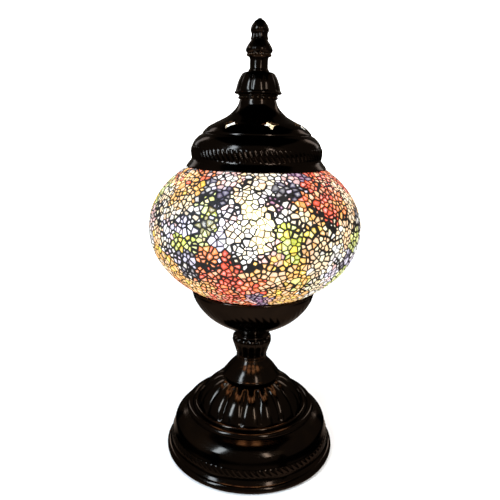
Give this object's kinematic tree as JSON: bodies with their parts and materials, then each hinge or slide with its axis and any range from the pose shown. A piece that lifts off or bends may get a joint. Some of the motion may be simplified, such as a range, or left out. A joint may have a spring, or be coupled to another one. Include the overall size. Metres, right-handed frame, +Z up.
{
  "type": "mosaic glass table lamp",
  "caption": "Table lamp with a flattened crackle mosaic glass globe on a dark bronze fluted base, under a pierced cap with a leafed finial.",
  "frame": {"origin": "on the surface that the rubber feet stand on, on the lamp's vertical axis", "axes": "+Z up along the axis towards the finial, +Y towards the back where the cord leaves, +X to the right seen from the front"},
  "size_m": [0.1396, 0.1396, 0.2921],
  "materials": {
    "dark_bronze": "gloss antique bronze, nearly black",
    "zinc_steel": "zinc plated",
    "black_rubber": "matte",
    "silicone": "matte translucent",
    "plain_brass": "plain",
    "black_phenolic": "moulded",
    "white_ceramic": "plain",
    "lead_brown": "insulated wire",
    "lead_blue": "insulated wire",
    "bulb_glass": "frosted, lit",
    "bulb_metal": "rolled",
    "black_glass": "gloss",
    "filament": "lit",
    "mosaic_glass": "crackled coloured glass in dark grout",
    "globe_glass": "clear"
  },
  "bodies": {
    "stand": {"base_shell": "dark_bronze", "bottom_plate": "zinc_steel", "foot_1": "black_rubber", "foot_2": "black_rubber", "foot_3": "black_rubber", "foot_4": "black_rubber", "cord_grommet": "black_rubber", "fluted_dome": "dark_bronze", "bell_collar": "dark_bronze", "neck_knop": "dark_bronze", "globe_cup": "dark_bronze", "threaded_tube": "zinc_steel", "base_washer": "zinc_steel", "base_nut": "zinc_steel", "cup_washer": "zinc_steel", "cup_nut": "zinc_steel", "lampholder_hub": "plain_brass", "lampholder_shell": "black_phenolic", "lampholder_insert": "white_ceramic", "terminal_screws": "plain_brass", "screw_contact": "plain_brass", "centre_contact": "plain_brass", "lead_live": "lead_brown", "lead_neutral": "lead_blue", "mosaic_layer": "mosaic_glass", "glass_globe": "globe_glass", "globe_gasket": "silicone"},
    "bulb": {"bulb_glass": "bulb_glass", "bulb_screw_cap": "bulb_metal", "bulb_insulator": "black_glass", "bulb_tip_contact": "bulb_metal", "bulb_stem": "bulb_glass", "bulb_filament": "filament"},
    "cap": {"cap_dome": "dark_bronze", "spring_strap": "zinc_steel", "cap_washer": "zinc_steel", "cap_nut": "zinc_steel", "cap_stud": "zinc_steel", "neck_ring": "dark_bronze", "finial_bell": "dark_bronze", "finial_tube": "dark_bronze", "finial_ring": "dark_bronze"},
    "finial": {"finial_knob": "dark_bronze"}
  },
  "joints": [
    {"name": "cap_lift", "type": "slide", "parent": "stand", "child": "cap", "axis": [0, 0, 1], "range_m": [0, 0.12]},
    {"name": "bulb_turn", "type": "hinge", "parent": "stand", "child": "bulb", "pos_m": [0, 0, 0.13], "axis": [0, 0, 1], "continuous": true},
    {"name": "finial_turn", "type": "hinge", "parent": "cap", "child": "finial", "pos_m": [0, 0, 0.275], "axis": [0, 0, 1], "continuous": true}
  ]
}
